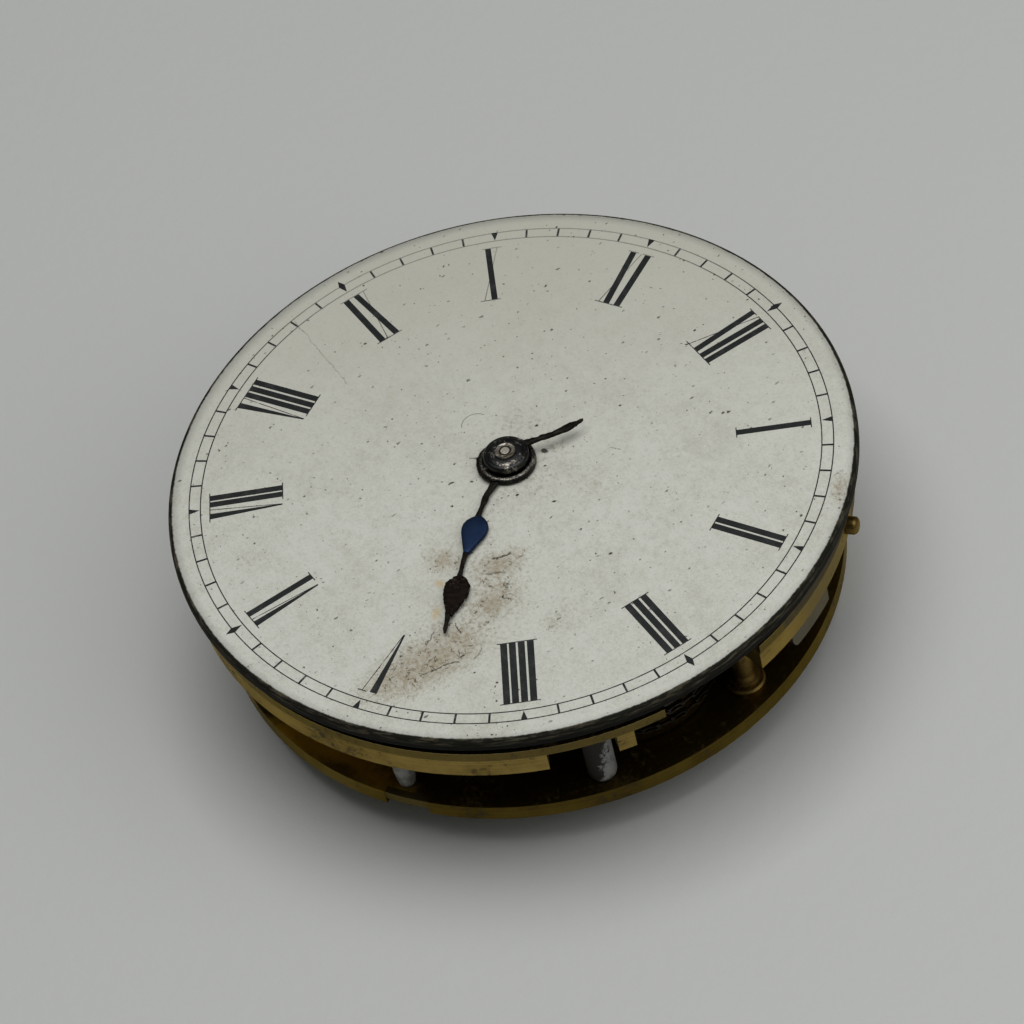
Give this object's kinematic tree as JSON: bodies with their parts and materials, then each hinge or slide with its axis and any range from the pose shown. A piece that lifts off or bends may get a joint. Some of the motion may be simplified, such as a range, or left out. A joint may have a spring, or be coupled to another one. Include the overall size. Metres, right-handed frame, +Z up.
{
  "type": "pocket watch movement",
  "caption": "Key-wound full-plate pocket watch movement with enamel dial, fusee and chain, rack lever escapement and a broken minute hand.",
  "frame": {"origin": "on the hand axis, level with the outer face of the balance cock's cap", "axes": "+Z up through the dial, +Y towards XII, +X towards III"},
  "size_m": [0.042, 0.042, 0.0142],
  "materials": {
    "enamel": "worn white enamel",
    "blued_steel": "blued",
    "rusted_steel": "rusted",
    "gilt_brass": "worn gilding",
    "brass": "aged",
    "tarnished_brass": "tarnished grey",
    "steel": "dull",
    "ruby": "polished"
  },
  "bodies": {
    "frame": {"dial": "enamel", "dial_feet": "brass", "dial_pins": "brass", "pillar_plate": "gilt_brass", "rim_pin": "brass", "pillars": "tarnished_brass", "turned_pillars": "brass", "pillar_pins": "brass", "top_plate": "gilt_brass", "minute_stud": "steel", "barrel_arbor": "steel", "barrel_ratchet": "steel", "click_screw": "blued_steel", "barrel_bar": "gilt_brass", "bar_screws": "blued_steel", "fusee_chain": "steel", "potence": "gilt_brass", "potence_screw": "blued_steel", "balance_cock": "gilt_brass", "cock_screw": "blued_steel", "cock_jewel": "ruby", "cock_cap": "blued_steel", "cap_screws": "steel", "hairspring": "blued_steel", "hairspring_stud": "gilt_brass", "stop_stud": "brass", "stop_pin": "steel"},
    "centre": {"centre_arbor": "steel", "centre_wheel": "brass", "cannon_pinion": "steel", "minute_hand": "rusted_steel"},
    "hour": {"hour_wheel": "brass", "hour_hand": "blued_steel"},
    "minute_wheel": {"minute_wheel": "brass"},
    "fusee": {"great_wheel": "brass", "fusee_cone": "brass", "fusee_beak": "steel", "fusee_arbor": "steel"},
    "barrel": {"barrel": "brass", "barrel_cover": "brass", "mainspring": "steel"},
    "third": {"third_arbor": "steel", "third_wheel": "brass"},
    "fourth": {"fourth_arbor": "steel", "fourth_wheel": "brass"},
    "escape": {"escape_arbor": "steel", "escape_wheel": "brass"},
    "lever": {"lever": "steel", "pallet_stones": "ruby", "lever_arbor": "steel"},
    "balance": {"balance_wheel": "brass", "balance_staff": "steel", "hairspring_collet": "brass"},
    "regulator": {"regulator": "blued_steel"},
    "click": {"ratchet_click": "steel"},
    "stop_iron": {"stop_iron": "steel"}
  },
  "joints": [
    {"name": "hand_axis", "type": "hinge", "parent": "frame", "child": "centre", "pos_m": [0, 0, 0.008], "axis": [0, 0, -1], "continuous": true},
    {"name": "fusee_turn", "type": "hinge", "parent": "frame", "child": "fusee", "pos_m": [-0.00048, -0.00909, 0.006], "axis": [0, 0, -1], "continuous": true},
    {"name": "barrel_turn", "type": "hinge", "parent": "frame", "child": "barrel", "pos_m": [0.01138, -0.0006, 0.006], "axis": [0, 0, -1], "continuous": true},
    {"name": "third_turn", "type": "hinge", "parent": "frame", "child": "third", "pos_m": [-0.00705, 0.00146, 0.007], "axis": [0, 0, -1], "continuous": true},
    {"name": "fourth_turn", "type": "hinge", "parent": "frame", "child": "fourth", "pos_m": [-0.01179, 0.00478, 0.007], "axis": [0, 0, -1], "continuous": true},
    {"name": "escape_turn", "type": "hinge", "parent": "frame", "child": "escape", "pos_m": [-0.0115, 0.00949, 0.005], "axis": [0, 0, -1], "continuous": true},
    {"name": "minute_wheel_turn", "type": "hinge", "parent": "frame", "child": "minute_wheel", "pos_m": [-0.00283, -0.00283, 0.0112], "axis": [0, 0, -1], "continuous": true},
    {"name": "hour_turn", "type": "hinge", "parent": "frame", "child": "hour", "pos_m": [0, 0, 0.0116], "axis": [0, 0, -1], "continuous": true},
    {"name": "balance_swing", "type": "hinge", "parent": "frame", "child": "balance", "pos_m": [-0.00371, 0.00898, 0.002], "axis": [0, 0, 1], "range_deg": [-90, 90]},
    {"name": "lever_swing", "type": "hinge", "parent": "frame", "child": "lever", "pos_m": [-0.00943, 0.01255, 0.005], "axis": [0, 0, 1], "range_deg": [-11.25, 11.25]},
    {"name": "regulator_turn", "type": "hinge", "parent": "frame", "child": "regulator", "pos_m": [-0.00371, 0.00898, 0.003], "axis": [0, 0, 1], "range_deg": [-25, 25]},
    {"name": "click_lift", "type": "hinge", "parent": "frame", "child": "click", "pos_m": [0.00843, 0.00109, 0.0112], "axis": [0, 0, -1], "range_deg": [0, 18]},
    {"name": "stop_hinge", "type": "hinge", "parent": "frame", "child": "stop_iron", "pos_m": [0.00692, -0.00909, 0.00488], "axis": [0, -1, 0], "range_deg": [0, 5]}
  ],
  "couplings": [
    {"joint": "fusee_turn", "follows": "hand_axis", "ratio": -0.16667},
    {"joint": "barrel_turn", "follows": "hand_axis", "ratio": -0.15899},
    {"joint": "third_turn", "follows": "hand_axis", "ratio": -8},
    {"joint": "fourth_turn", "follows": "hand_axis", "ratio": 60},
    {"joint": "escape_turn", "follows": "hand_axis", "ratio": -480},
    {"joint": "minute_wheel_turn", "follows": "hand_axis", "ratio": -0.33333},
    {"joint": "hour_turn", "follows": "hand_axis", "ratio": 0.083333},
    {"joint": "lever_swing", "follows": "balance_swing", "ratio": -0.125}
  ]
}
